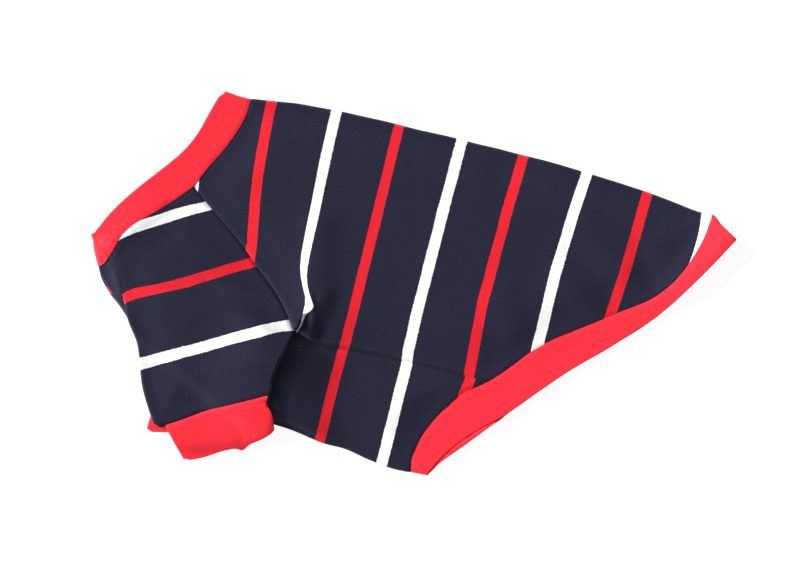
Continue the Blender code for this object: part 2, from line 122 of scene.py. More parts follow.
FAR_SLEEVE_REAR = [(77.5, -166), (74.2, -181), (71.2, -195), (69, -209), (68, -222)]
FAR_CUFF_SEAM = [(-15.5, -242), (26, -233), (68, -222)]
FAR_CUFF_EDGE = [(-16, -270), (-5, -267.3), (20, -262), (70, -245)]

# Where a band's flattened shape is pulled out of line. Each row is the place, the pull and its reach.
NECK_PULLS = [
    ((-82, -153.5), (0.3, -1.6), 4.0),
    ((-88.5, -144), (1.6, 0.4), 7.0),
    ((-94.5, -132.5), (1.4, 0.6), 3.0),
    ((-19, 0), (-0.2, 1.1), 6.0),
]
HEM_PULLS = [((370.5, -3.5), (-0.2, 2.0), 5.0)]
CUFF_PULLS = [((74, -224), (-3.4, -0.6), 4.5)]

ARMPIT = np.array(RAGLAN_BACK[-1], float)
UP = np.array([0.0, 0.0, 1.0])

# How the cloth lies. Where a name ends in SPAN, it gives a start and a length, as shares of a line.
REST_MARGIN = 4.0  # a layer stays level this far past the edge of what it lies on,
REST_STEEP = 16.0  # comes most of the way down over this much,
REST_GENTLE = 75.0  # and is down after this much
GENTLE_SHARE = 0.35
LOFT = 2.2  # open cloth stands this far up from the layer below
LOFT_REACH = 36.0  # from this far inside its edges
ROLL_HEIGHT = 0.6  # folded edges stand this much fuller
ROLL_REACH = 10.0
WAVE = 0.45  # the folded edges waver by this much,
WAVE_SIZE = 24.0  # over this length
SMALL_WAVES = [(45.0, 0.35, 0), (14.0, 0.08, 5)]  # size, height and number of the random waves

THROAT_CREASE = [(-75, -144.3), (-91.6, -132.3)]  # across the neckband, where it bends at the throat
THROAT_FROM_END = 13.0  # and how far that is from the end of its near half
THROAT_LAYERS = 3  # the neckband bends round this many layers there
THROAT_SPAN = (0.16, 0.26)  # where the throat ends along the near sleeve's front fold
THROAT_RISE = 4.05  # beside that fold, the chest panel stands up this much to meet the sleeve,
THROAT_REACH = 5.8  # over this width,
THROAT_UNDER = 2.2  # and goes down again under the sleeve
THROAT_DIP = 0.8  # the sleeve's fold is lower there,
THROAT_DIP_REACH = 8.0  # over this much of its width
LEDGE_RISE = 5.2  # the near sleeve's rear edge stands up this much on the cloth bunched below it,
LEDGE_SPAN = (0.0, 0.2)  # from the armpit on
LEDGE_REACH_SLEEVE = 68.0
LEDGE_REACH_BELLY = 64.0
NECK_ROLL = 3.2  # the neck seam stands up this much on its way to the throat,
NECK_ROLL_SPAN = (0.25, 0.8)
NECK_ROLL_REACH = 22.0  # and the cloth falls away from it
HEM_TILT = 1.4  # the hem's free edge lies this much higher than its seam,
FAR_CURL = 1.9  # and its far half rises beside the near one,
FAR_CURL_FROM, FAR_CURL_REACH = 0.1, 0.9  # from this far past its edge, over this much
CUFF_TILT = 2.0  # the cuff's free edge lies this much lower than its seam,
CUFF_DROP = 0.5  # and where the sleeve stands up, this share of that is gone there

SEAM_REACH = 1.1  # how far a seam's dip reaches
SHOULDER_OFF, SHOULDER_WIDTH = 3.52, 1.76  # where the soft shoulder beside it stands, and its width
SHOULDERS = [0.12]
RAGLAN_DEPTHS = [1.0, 1.3, 1.7, 2.2]  # how deep the seams dip, from their start to their end
BELLY_SEAM_DEPTHS = [3.0, 2.6, 2.1, 1.6]
BELLY_SHOULDERS = [1.5, 0.8, 0.4, 0.3]  # how high the back stands beside the belly seam
NECK_DEPTHS = [0.3]
HEM_DEPTHS = [0.4]
CUFF_DEPTHS = [1.4]

# The pucker that runs up from the armpit, where the sleeve side lies higher than the belly side
PUCKER = [(77.5, -166), (79.8, -160.5), (81.2, -153.3), (84.4, -149.2), (87.2, -145.6), (86.8, -141),
          (83.5, -133), (80, -118), (77, -85)]
PUCKER_WIDTH = 1.3  # half the width of its steep side, at the armpit
PUCKER_SOFT = 20.0  # and at its upper end
PUCKER_SPAN = (0.3, 0.5)  # where it widens

BACK_CREASES = [
    # start, end, rise, half_width
    ((77, -85), (89, -138), 2.0, 14.0),  # broad ridge up from the armpit
    ((87, -146), (91.2, -165), 1.5, 4.0),  # small ridge below the pucker
    ((85, -146), (89, -166), 1.3, 20.0),  # both on a wide swelling
    ((97.5, -166), (103.5, -135), -1.1, 7.0),  # and the trough beside it
    ((82.8, -160), (83.5, -154), -1.4, 2.6),  # pit under the pucker
    ((274, -32), (311, -55), 1.2, 9.0),  # waves towards the hem
    ((269, -53), (303, -75.5), -0.9, 8.0),
    ((262.5, -73), (295, -93.5), 0.9, 9.0),
    ((318, -36), (337, -66), -0.8, 7.0),
    ((228, -103), (243, -124), 0.9, 11.0),
    ((226, -136), (230, -152), -0.6, 10.0),
    ((204, -12), (208, -34), -0.6, 12.0),
]

# The narrow tail end is held up by its thick hem, which is rolled
TAIL_LIFTS = [
    ((388, -8), (366, -62), 4.4, 30.0),
    ((388, -14), (368, -56), 3.2, 13.0),
]

BELLY_CREASES = [
    ((150, -185), (185, -230), 0.5, 16.0),
    ((112, -205), (135, -236), -0.4, 12.0),
]

SLEEVE_CREASES = [
    ((-62, -150), (-42, -178), 0.5, 10.0),
    ((-10, -215), (20, -232), -0.4, 9.0),
    ((25, -150), (55, -172), 0.4, 10.0),
]

NECK_CREASES = [
    ((-90.5, -133), (-75, -144.5), -0.9, 1.2),
]

HEM_CREASES = [
    ((352, -60), (366, -72), 0.4, 5.0),
]

CUFF_CREASES = [
    ((45, -240), (62, -262), -0.4, 5.0),
    ((70.5, -223.5), (53.6, -230.5), -0.8, 1.8),
]

# Painted shade, drawn as dark lines in the seams' valleys and in the neckband's crease at the throat: how
# dark from their start to their end, and half the width of the line
PAINTED_SEAM_SHADES = [
    (BELLY_SEAM, [1, 1, 1, 0.9, 0.8], 1.7),
    (HEM_BACK, [0.3], 0.6),
    (HEM_BELLY, [0.3], 0.6),
    (THROAT_CREASE, [0.9, 0.6, 0.5], 0.9),
]

# Middles of the stripes on the back, from the neck to the tail. Each row is (along the back, across it).
BACK_STRIPES = [
    [(17, 8), (16.9, -4.6), (19.2, -40), (20.6, -57), (23.1, -75), (28.8, -109.5), (31, -130),
     (34, -250)],
    [(67.3, 10), (67.3, -4), (68.2, -39.7), (69.5, -75.3), (71.2, -111), (73, -130), (76, -250)],
    [(117.1, 10), (117.2, -4), (117.3, -24), (117.5, -63.4), (117.6, -135.2), (117.4, -171.2), (116, -250)],
    [(167.1, 10), (166.1, -51.2), (165.7, -123.2), (166.2, -159), (167.5, -170), (168, -250)],
    [(216.4, 10), (214.3, -39.2), (213.1, -111.4), (215.3, -146.8), (216.6, -166), (221, -250)],
    [(267.6, 10), (266.5, -2.3), (264.5, -26.9), (262, -75.5), (262.6, -127.8), (263, -250)],
    [(316.6, 10), (316.3, -1.8), (315.8, -13.9), (314, -62.4), (311.5, -99.1), (302, -250)],
    [(364.8, 10), (364.9, -1.5), (365.8, -7.9), (366.3, -14.9), (366.3, -23.9), (365.7, -32.1),
     (365, -38.5), (364.4, -43.6), (340, -250)],
]
BACK_WIDTHS = [8.1, 8.4, 7.8, 8.6, 8.2, 8.6, 8.0, 8.4]

# Edges of the white stripe where it runs into the pucker
PUCKER_LEFT = [(63.2, 10), (63.2, -4), (64.4, -39.7), (66.1, -75.3), (67.9, -106), (69.5, -116.8),
               (72.1, -124.4), (75.7, -131.7), (79.2, -138.2), (80.5, -144.3), (80.5, -148.9),
               (80.3, -153.5), (80.3, -158.1), (79.6, -162.8), (78.2, -167.8), (78, -250)]
PUCKER_RIGHT = [(71.5, 10), (71.5, -4), (72.4, -39.7), (73.7, -75.3), (74.5, -106), (75.1, -116.3),
                (76.4, -123.3), (78.8, -130), (81.8, -135.7), (85, -140.4), (86.6, -142.8), (87, -145.4),
                (85.7, -147.6), (83.4, -149.5), (81.5, -152.3), (81.1, -154.3), (81, -158.1),
                (80.3, -162.8), (79, -167.7), (79, -250)]

# Middles of the stripes on the belly, from under the sleeve to the hem
BELLY_STRIPES = [
    [(-40, -140), (-40, -260)],
    [(12, -140), (12, -260)],
    [(65.2, -140), (65.2, -260)],
    [(117.1, -140), (117.1, -169.8), (116.5, -190.3), (116.6, -260)],
    [(167.5, -140), (167.5, -260)],
    [(221, -140), (218.5, -167.5), (216.2, -182), (214, -200), (214, -260)],
]

BELLY_WIDTHS = [8.2, 8.2, 8.4, 7.8, 8.6, 8.2]

# Upper and lower edges of the sleeve's stripes, from the front fold to the raglan seam
SLEEVE_SLANT = math.radians(28)
SLEEVE_STRIPES = [
    # number, upper edge, lower edge
    (1, [(-74, -126), (-61, -113), (-46.4, -103.7), (-37.5, -97.9), (-24.6, -90.6), (-16, -86.7)],
     [(-74, -136), (-71.9, -132.1), (-68.5, -128), (-61, -122.2), (-48.3, -114.2), (-35.4, -106.5),
      (-20.1, -96.7), (-7, -90.1)]),
    (2, [(-58.5, -172.6), (-56.3, -168), (-50.6, -163.7), (-34.7, -156.8), (-16.4, -147.1),
         (1.5, -136.2), (17, -127), (27.9, -120.5)],
     [(-55.4, -178.6), (-52.4, -174.5), (-44.7, -169.9), (-28.9, -161.9), (-9.2, -152.3), (8.6, -141.1),
      (26.6, -130), (35.7, -125.2)]),
    (3, [(-36.1, -216.2), (-17.9, -206.1), (1.6, -195.7), (21, -184.7), (40.4, -173.8), (59.9, -163.2),
         (71.3, -158.4)],
     [(-32.6, -225), (-22.3, -218.6), (-9.3, -211.2), (10.1, -200.5), (29.6, -189.4), (49, -178.7),
      (65.9, -169.3), (76.7, -165.5)]),
    (4, [(-25, -275), (40.9, -236.2), (56.7, -227.5), (71, -219.1), (90, -208)],
     [(-21, -283), (45, -244), (60.8, -235), (75, -227), (94, -216)]),
]
FAR_SLEEVE_SHIFT = (13.5, -4.6)  # from a place on the far sleeve to the like one on the near sleeve

# Colours and textures
NAVY, NAVY_DARK = (0.0165, 0.0160, 0.0375), (0.0080, 0.0076, 0.0235)
# painted shade: the navy turns near black in the seams' valleys
NAVY_PAINTED_SEAM_SHADE = (0.0004, 0.0004, 0.0050)
RED, RED_DARK = (0.80, 0.0125, 0.026), (0.72, 0.009, 0.02)
WHITE, WHITE_DARK = (0.95, 0.95, 0.94), (0.90, 0.90, 0.90)
# the darker rib red is painted shade in the grooves between the ribs, and random mottle as well
RIB_RED, RIB_RED_GROOVE_SHADE_AND_MOTTLE = (0.96, 0.023, 0.042), (0.87, 0.017, 0.034)
# painted shade on the ribbing at the throat crease and beside the hem seam
RIB_PAINTED_SEAM_SHADE = (0.42, 0.004, 0.010)
LINT = (0.045, 0.045, 0.065)
NAVY_SHEEN, RIB_SHEEN = (0.75, 0.75, 0.9), (1.0, 0.75, 0.72)
BLOTCHES = (0.3, 0.7)  # levels of the mottling noise that are all dark and all light
COURSE, WALE = 0.7, 0.95  # height and width of a knitted loop
RIB_COURSE, RIB_PITCH = 0.6, 1.5

# Floor, camera and light, in metres and degrees. The light's direction is measured anticlockwise from the
# photograph's right.
FLOOR_SIZE = 3.0
FLOOR_SINK = 0.0002
FLOOR_GREY = 0.22
FLOOR_GLOW = 0.88
CAMERA_OVER = (-0.0032, 0.02477)
CAMERA_HEIGHT = 1.4
CAMERA_TURN = 14.0
LENS = 81.7
AMBIENT = 0.40
KEY_STRENGTH = 8.6
KEY_SPREAD = 30.0
KEY_FROM = 158.0
KEY_RISE = 18.0


def smooth(points):
    """A dense line on a smooth curve through the given points."""
    points = np.array(points, float)
    chords = np.hypot(*np.diff(points, axis=0).T)
    knots = np.concatenate([[0.0], np.cumsum(chords)])
    slopes = np.gradient(points, knots, axis=0)
    dense = np.linspace(0.0, knots[-1], 40 * len(points))
    span = np.clip(np.searchsorted(knots, dense, side="right") - 1, 0, len(chords) - 1)
    width = chords[span][:, None]
    part = ((dense - knots[span]) / chords[span])[:, None]
    return (
        points[span] * (1 + 2 * part) * (1 - part) ** 2
        + slopes[span] * width * part * (1 - part) ** 2
        + points[span + 1] * part**2 * (3 - 2 * part)
        + slopes[span + 1] * width * part**2 * (part - 1)
    )


def lengths_along(line):
    return np.concatenate([[0.0], np.cumsum(np.hypot(*np.diff(line, axis=0).T))])


def at(line, shares):
    """The points at these shares of a line's length."""
    lengths = lengths_along(line)
    places = shares * lengths[-1]
    return np.stack([np.interp(places, lengths, line[:, axis]) for axis in (0, 1)], axis=1)


def trimmed(line, start, end):
    """The line without these lengths at its two ends."""
    total = lengths_along(line)[-1]
    return at(line, np.linspace(start / total, 1 - end / total, len(line)))


def joined(*lines):
    """Lines that follow one another, as one line without double points."""
    return np.concatenate([lines[0]] + [line[1:] for line in lines[1:]])


def moved_end(line, place, reach=SLEEVE_CORNER_REACH):
    """The line shifted near its last point so that it ends at this place."""
    left = lengths_along(line)[-1] - lengths_along(line)
    share = np.clip(1 - left / reach, 0, 1)[:, None] ** 2
    return line + share * (np.array(place) - line[-1])


def moved_start(line, place, reach=SLEEVE_CORNER_REACH):
    return moved_end(line[::-1], place, reach)[::-1]


def outwards_of(line, inside):
    """Unit vectors across a line, pointing away from a point inside."""
    along = np.gradient(line, axis=0)
    across = np.stack([along[:, 1], -along[:, 0]], axis=1)
    across /= np.hypot(*across.T)[:, None]
    if np.sum(across * (line - inside)) < 0:
        across = -across
    return across


def outwards_at(outwards, shares):
    """The directions out of a fold at these shares of its length."""
    spots, places = shares * (len(outwards) - 1), np.arange(len(outwards))
    picked = np.stack([np.interp(spots, places, outwards[:, axis]) for axis in (0, 1)], axis=1)
    return picked / np.hypot(*picked.T)[:, None]


def spaced(length, fine_places, step, fine, growth):
    """Shares of a length, at steps that are fine near these places and grow away from them."""
    places = [0.0]
    while places[-1] < length:
        away = min(abs(places[-1] - place) for place in fine_places)
        places.append(places[-1] + min(step, fine + growth * away))
    return np.array(places) / places[-1]


def patch(top, bottom, left, right, over, down):
    """A grid between four sides, whose rows lie at these shares down and columns at these shares over."""
    over, down = over[None, :, None], down[:, None, None]
    corners = (
        (1 - down) * (1 - over) * top[0]
        + (1 - down) * over * top[-1]
        + down * (1 - over) * bottom[0]
        + down * over * bottom[-1]
    )
    between_ends = (1 - down) * top[None] + down * bottom[None]
    between_sides = (1 - over) * left[:, None] + over * right[:, None]
    return between_ends + between_sides - corners


def drawn_in(grid, edges):
    """The grid with the named edges moved in by half a seam gap."""
    grid = grid.copy()
    for edge in edges:
        outer, inner = {
            "top": (grid[0], grid[1]),
            "bottom": (grid[-1], grid[-2]),
            "left": (grid[:, 0], grid[:, 1]),
            "right": (grid[:, -1], grid[:, -2]),
        }[edge]
        inwards = inner - outer
        outer += inwards / np.hypot(*inwards.T).T[:, None] * SEAM_GAP / 2
    return grid


def nearest_on(points, line):
    """How far each point lies from a line, and the share of the line's length where it comes nearest."""
    flat = points.reshape(-1, 2)
    line = np.array(line, float)
    starts, runs = line[:-1], np.diff(line, axis=0)
    sizes = np.hypot(*runs.T)
    offsets = flat[:, None] - starts[None]
    part = np.clip(np.sum(offsets * runs, axis=2) / sizes**2, 0, 1)
    gaps = np.linalg.norm(offsets - part[:, :, None] * runs, axis=2)
    nearest = gaps.argmin(axis=1)
    pick = np.arange(len(flat))
    share = (lengths_along(line)[nearest] + part[pick, nearest] * sizes[nearest]) / sizes.sum()
    return gaps[pick, nearest].reshape(points.shape[:-1]), share.reshape(points.shape[:-1])


def gap_to(points, line):
    return nearest_on(points, line)[0]


def inside_of(points, outline):
    flat = points.reshape(-1, 2)
    starts, ends = outline, np.roll(outline, -1, axis=0)
    spans = (starts[:, 1] > flat[:, None, 1]) != (ends[:, 1] > flat[:, None, 1])
    rise = ends[:, 1] - starts[:, 1]
    rise = np.where(rise == 0, 1.0, rise)
    run = (flat[:, None, 1] - starts[:, 1]) / rise * (ends[:, 0] - starts[:, 0])
    crossing = starts[:, 0] + run > flat[:, None, 0]
    return (np.sum(spans & crossing, axis=1) % 2 == 1).reshape(points.shape[:-1])


def eased(share):
    """0 to 1 with a soft start and a soft end."""
    share = np.clip(share, 0, 1)
    return share * share * share * (share * (6 * share - 15) + 10)


def faded(value, start, length):
    """1 up to a start and 0 from this much past it, softly."""
    return 1 - eased((value - start) / length)


def presence(points, outline):
    """1 over an outline, and falling softly to 0 past its edge."""
    outline = np.array(outline, float)
    gap = gap_to(points, np.concatenate([outline, outline[:1]]))
    gap = np.where(inside_of(points, outline), 0.0, gap)
    steep, gentle = (faded(gap, REST_MARGIN, reach) for reach in (REST_STEEP, REST_GENTLE))
    return (1 - GENTLE_SHARE) * steep + GENTLE_SHARE * gentle


FAR_SLEEVE_OUTLINE = (
    RAGLAN_FRONT + FAR_SLEEVE_REAR[1:] + FAR_CUFF_EDGE[::-1] + FAR_SLEEVE_FRONT[:0:-1]
)
BELLY_OUTLINE = RAGLAN_FRONT + BELLY_SEAM[1:] + HEM_BELLY[1:] + BELLY_FOLD[-2::-1]
NEAR_SLEEVE_OUTLINE = (
    RAGLAN_FRONT + NEAR_SLEEVE_REAR[1:] + NEAR_CUFF_EDGE[::-1] + NEAR_SLEEVE_FRONT[-2:0:-1]
)


def creased(points, creases):
    """Soft ridges and troughs, as a height at each point."""
    height = np.zeros(points.shape[:-1])
    for start, end, rise, half_width in creases:
        height += rise * np.exp(-((gap_to(points, [start, end]) / half_width) ** 2))
    return height


def uneven(points, size, seed):
    """Slow random waves of this size, from -1 to 1."""
    flat = points.reshape(-1, 2) / size
    waves = [noise.noise(Vector((x, y, seed))) for x, y in flat]
    return np.array(waves).reshape(points.shape[:-1])


def graded(share, values):
    """Values at even steps from the start of a line to its end, read at a share of its length."""
    return np.interp(share, np.linspace(0, 1, len(values)), values)


def sewn_down(points, line, depths, shoulders=SHOULDERS):
    """How far cloth dips at a seam, and stands up in a soft shoulder beside it."""
    gap, share = nearest_on(points, line)
    beside = np.exp(-(((gap - SHOULDER_OFF) / SHOULDER_WIDTH) ** 2))
    return graded(share, shoulders) * beside - graded(share, depths) * np.exp(-gap / SEAM_REACH)


def seams(points, *rows):
    """The dips at several seams. Each row is a line, its depths and, where they differ, its shoulders."""
    return sum(sewn_down(points, thin(line), *heights) for line, *heights in rows)


def painted_seam_shade(points):
    """How dark the painted shade in the seams' valleys and the throat crease is at each point, from 0 to 1.
    """
    shade = np.zeros(points.shape[:-1])
    for line, strengths, half_width in PAINTED_SEAM_SHADES:
        gap, share = nearest_on(points, thin(line))
        shade = np.maximum(shade, graded(share, strengths) * np.exp(-((gap / half_width) ** 2)))
    return shade


def ledge(points, reach):
    """How far cloth stands up at the near sleeve's rear edge, and softly less beside it."""
    gap, share = nearest_on(points, NEAR_SLEEVE_REAR + NEAR_CUFF_EDGE[-1:])
    return LEDGE_RISE * faded(gap, 0, reach) * (1 - faded(share, *LEDGE_SPAN))


def neck_roll(points, reach):
    """How far cloth stands up beside the neck seam, between the back and the throat."""
    gap, share = nearest_on(points, thin(NECK_SLEEVE))
    start, length = NECK_ROLL_SPAN
    swell = np.sin(np.pi * np.clip((share - start) / length, 0, 1))
    return NECK_ROLL * swell * (1 - np.clip(gap / reach, 0, 1))


def pulled(points, pulls):
    """Points on the table, shifted near each of the given places."""
    for place, pull, reach in pulls:
        distance = np.linalg.norm(points - np.array(place, float), axis=-1)
        points = points + np.exp(-((distance / reach) ** 2))[..., None] * np.array(pull, float)
    return points


def raised(grid, layers, thickness, relief=0.0):
    """Points in space, on the middle of a cloth that lies on this many layers."""
    heights = layers * LAYER + thickness / 2 + relief
    return np.concatenate([grid, np.broadcast_to(heights, grid.shape[:2])[..., None]], axis=-1)


def bent_round(upper, lower, outwards):
    """The rows of a half-round fold between an upper edge and a lower one."""
    centre = (upper + lower) / 2
    radius = (upper[:, 2:] - lower[:, 2:]) / 2
    outwards = np.concatenate([outwards, np.zeros((len(outwards), 1))], axis=1)
    angles = np.pi * np.arange(1, FOLD_STEPS) / FOLD_STEPS
    return np.array([centre + radius * (math.sin(a) * outwards + math.cos(a) * UP) for a in angles])


def between(first, last, rows):
    """Rows of cloth coordinates from one row to another, left out at both ends."""
    shares = np.linspace(0, 1, rows + 2)[1:-1, None, None]
    return (1 - shares) * first + shares * last


def run_on(near_cloth, far_cloth, axis):
    """The far half's cloth coordinates, running on past the fold instead of back from it."""
    end = near_cloth[-1, :, axis]
    bend = np.sign(end - near_cloth[-2, :, axis]) * FOLD_LENGTH
    far_cloth = far_cloth.copy()
    far_cloth[..., axis] = 2 * end + bend - far_cloth[..., axis]
    return far_cloth


def folded(near, far, near_cloth, far_cloth, outwards, axis=1):
    """A sheet folded along the last row of its near half: near rows, fold, then far rows backwards."""
    fold = bent_round(near[-1], far[-1], outwards)
    far_cloth = run_on(near_cloth, far_cloth, axis)
    middle = np.concatenate([near, fold, far[::-1]])
    cloth = np.concatenate([near_cloth, between(near_cloth[-1], far_cloth[-1], len(fold)), far_cloth[::-1]])
    return middle, cloth


def flat_tube(near, far, near_cloth, far_cloth, first_outwards, last_outwards, axis=1):
    """A flattened tube: near rows, a fold at the last row, far rows backwards, a fold at the first row.

    The cloth coordinates have one row more, because the last one meets the first with other numbers.
    """
    middle, cloth = folded(near, far, near_cloth, far_cloth, last_outwards, axis)
    back = bent_round(near[0], far[0], first_outwards)[::-1]
    last = near_cloth[0].copy()
    last[:, axis] = cloth[-1, :, axis] + np.sign(cloth[-1, :, axis] - cloth[-2, :, axis]) * FOLD_LENGTH
    middle = np.concatenate([middle, back])
    cloth = np.concatenate([cloth, between(cloth[-1], last, len(back)), last[None]])
    return middle, cloth


def normals_of(middle, closed):
    """Unit normals of a grid, pointing up from its first rows."""
    if closed:
        down = np.roll(middle, -1, axis=0) - np.roll(middle, 1, axis=0)
    else:
        down = np.gradient(middle, axis=0)
    normals = np.cross(down, np.gradient(middle, axis=1))
    normals /= np.linalg.norm(normals, axis=2)[..., None]
    return normals if normals[1, :, 2].mean() > 0 else -normals


def rounded_edge(middle, thickness):
    """Half the thickness of a band at each point, rounded down to nearly nothing at its free edge."""
    gap = np.linalg.norm(middle - middle[:, -1:], axis=2)
    depth = np.clip(1 - gap / (thickness / 2), 0, 1)
    return thickness / 2 * np.sqrt(np.clip(1 - depth**2, LEAST_EDGE**2, 1))


def wall(name, middle, cloth, thickness, closed, free_edge=False):
    """A wall of cloth about its middle points, with the cloth's own coordinates as its UV map."""
    rows, columns = middle.shape[:2]
    normals = normals_of(middle, closed)
    half = rounded_edge(middle, thickness)[..., None] if free_edge else thickness / 2
    points = np.concatenate([(middle + side * half * normals).reshape(-1, 3) for side in (1, -1)])
    number = np.arange(2 * len(cloth) * columns).reshape(2, len(cloth), columns)
    quads = []

    def strip(first, second):
        """Quads between two lines of point numbers."""
        quads.append(np.stack([first[:-1], first[1:], second[1:], second[:-1]], axis=1))

    for first, second in zip(number[0], number[0, 1:]):
        strip(second, first)
    for first, second in zip(number[1], number[1, 1:]):
        strip(first, second)
    strip(number[0, :, 0], number[1, :, 0])
    strip(number[1, :, -1], number[0, :, -1])
    if not closed:
        strip(number[1, 0], number[0, 0])
        strip(number[0, -1], number[1, -1])
    side, row, column = np.unravel_index(np.concatenate(quads), number.shape)
    corners = (side * rows + row % rows) * columns + column

    points[:, :2] -= MIDDLE
    mesh = bpy.data.meshes.new(name)
    mesh.from_pydata((points * MM).tolist(), [], corners.tolist())
    mesh.uv_layers.new(name="cloth").data.foreach_set("uv", (cloth[row, column] * MM).ravel())
    # painted shade along the seams and the throat crease, kept on the mesh for the materials
    shade = np.tile(painted_seam_shade(middle[..., :2]).ravel(), 2)
    mesh.attributes.new("painted_seam_shade", "FLOAT", "POINT").data.foreach_set("value", shade)
    mesh.shade_smooth()
    mesh.set_sharp_from_angle(angle=math.radians(SHARP_ANGLE))
    piece = bpy.data.objects.new(name, mesh)
    bpy.context.scene.collection.objects.link(piece)
    return piece


def stripe_number(points, edges):
    """The stripes as numbers over the cloth: whole on the middle of each, and even on red ones."""
    along, across = points[..., 0], points[..., 1]
    places = []
    for value, line in edges:
        line = np.array(sorted(line, key=lambda point: point[1]), float)
        places.append((value, np.interp(across, line[:, 1], line[:, 0])))
    number = places[0][0] + np.minimum(along - places[0][1], 0) / PITCH
    for (value, place), (next_value, next_place) in zip(places, places[1:]):
        number += (next_value - value) * np.clip((along - place) / (next_place - place), 0, 1)
    return number + np.maximum(along - places[-1][1], 0) / PITCH


def both_edges(middles, widths, first):
    """Two edges for each stripe, from the lines along their middles."""
    edges = []
    for number, (line, width) in enumerate(zip(middles, widths), first):
        for side in (-0.5, 0.5):
            edges.append((number + side * STRIPE / PITCH, [(x + side * width, y) for x, y in line]))
    return edges


def turned(points, angle):
    """Points seen along directions that are turned by this angle."""
    points = np.array(points, float)
    cos, sin = math.cos(angle), math.sin(angle)
    x, y = points[..., 0], points[..., 1]
    return np.stack([x * cos + y * sin, y * cos - x * sin], axis=-1)


def back_cloth(grid, puckered):
    """The cloth's own coordinates on the back: across the stripes and along them."""
    edges = both_edges(BACK_STRIPES, BACK_WIDTHS, 0)
    if puckered:
        edges[2] = (edges[2][0], PUCKER_LEFT)
        edges[3] = (edges[3][0], PUCKER_RIGHT)
    return np.stack([stripe_number(grid, edges) * PITCH, -grid[..., 1]], axis=-1)


def belly_cloth(grid):
    edges = both_edges(BELLY_STRIPES, BELLY_WIDTHS, -1)
    return np.stack([stripe_number(grid, edges) * PITCH, -grid[..., 1]], axis=-1)


def sleeve_cloth(grid, shift=(0.0, 0.0)):
    """The cloth's own coordinates on a sleeve, whose stripes slant down to its front fold."""
    flat = turned(grid + np.array(shift), SLEEVE_SLANT)
    edges = []
    for number, upper, lower in SLEEVE_STRIPES:
        for side, line in ((-0.5, upper), (0.5, lower)):
            line = turned(line, SLEEVE_SLANT)
            edges.append((number + side * STRIPE / PITCH, [(-q, p) for p, q in line]))
    downwards = np.stack([-flat[..., 1], flat[..., 0]], axis=-1)
    return np.stack([stripe_number(downwards, edges) * PITCH, flat[..., 0]], axis=-1)


def thin(points, count=48):
    """A smooth line with few points, for measuring distances."""
    return at(smooth(points), np.linspace(0, 1, count))


def armpit_turn(points):
    """0 on the belly side of the pucker above the armpit, and 1 on its sleeve side."""
    line = np.array(PUCKER, float)
    gap, share = nearest_on(points, line)
    behind, spot, ahead = (
        at(line, np.clip(share.ravel() + step, 0, 1)).reshape(points.shape) for step in (-0.02, 0, 0.02)
    )
    run, off = ahead - behind, points - spot
    side = np.sign(run[..., 0] * off[..., 1] - run[..., 1] * off[..., 0])
    width = PUCKER_SOFT + (PUCKER_WIDTH - PUCKER_SOFT) * faded(share, *PUCKER_SPAN)
    return eased(0.5 + side * gap / (2 * width))


def loft(points, lines):
    """How much open cloth stands up from the layer below, away from its seams."""
    return LOFT * eased(np.min([gap_to(points, thin(line)) for line in lines], axis=0) / LOFT_REACH)


def fold_roll(points, fold):
    """How much fuller cloth stands beside a folded edge."""
    return ROLL_HEIGHT * faded(gap_to(points, thin(fold)), 0, ROLL_REACH)


def small_waves(points, seed):
    """Slight unevenness of cloth that was smoothed out by hand."""
    return sum(uneven(points, size, seed + number) * height for size, height, number in SMALL_WAVES)


def drawn_fold(fold, seed):
    """A fold line drawn in to leave room for the bend, slightly wavy, and the directions out from it."""
    outwards = outwards_of(fold, ARMPIT)
    wave = uneven(fold, WAVE_SIZE, seed)[:, None] * WAVE
    return fold + outwards * (wave - LAYER / 2 - JERSEY / 2), outwards


def panel_shares(seam_parts):
    """Shares along a panel's seams, fine at the armpit and the ends, and the armpit's own share."""
    first, second = (lengths_along(line)[-1] for line in seam_parts)
    front = spaced(first, [0, first], *RAGLAN_COLUMNS) * first
    rear = first + spaced(second, [0, second], *BELLY_COLUMNS)[1:] * second
    return np.concatenate([front, rear]) / (first + second), first / (first + second)


def panel_grids(fold, seam_parts, left, right, armpit_at_fold):
    """Near and far grids of half a folded panel, from a first row at its seam to a last one at its fold.

    They come with the columns' places along the fold, as shares of it.
    """
    seam = joined(*seam_parts)
    over, armpit = panel_shares(seam_parts)
    over_fold = np.interp(over, [0, armpit, 1], [0, armpit_at_fold, 1])
    left = moved_start(left, fold[0], PANEL_CORNER_REACH)
    right = moved_start(right, fold[-1], PANEL_CORNER_REACH)
    depth = max(lengths_along(left)[-1], lengths_along(right)[-1])
    grids = []
    for rows in (PANEL_ROWS, FAR_PANEL_ROWS):
        down = 1 - spaced(depth, [0, depth], *rows)[::-1]
        grid = patch(at(fold, over_fold), at(seam, over), at(left, down), at(right, down), over, down)
        grids.append(drawn_in(grid, ["bottom", "left", "right"])[::-1])
    return grids, over_fold


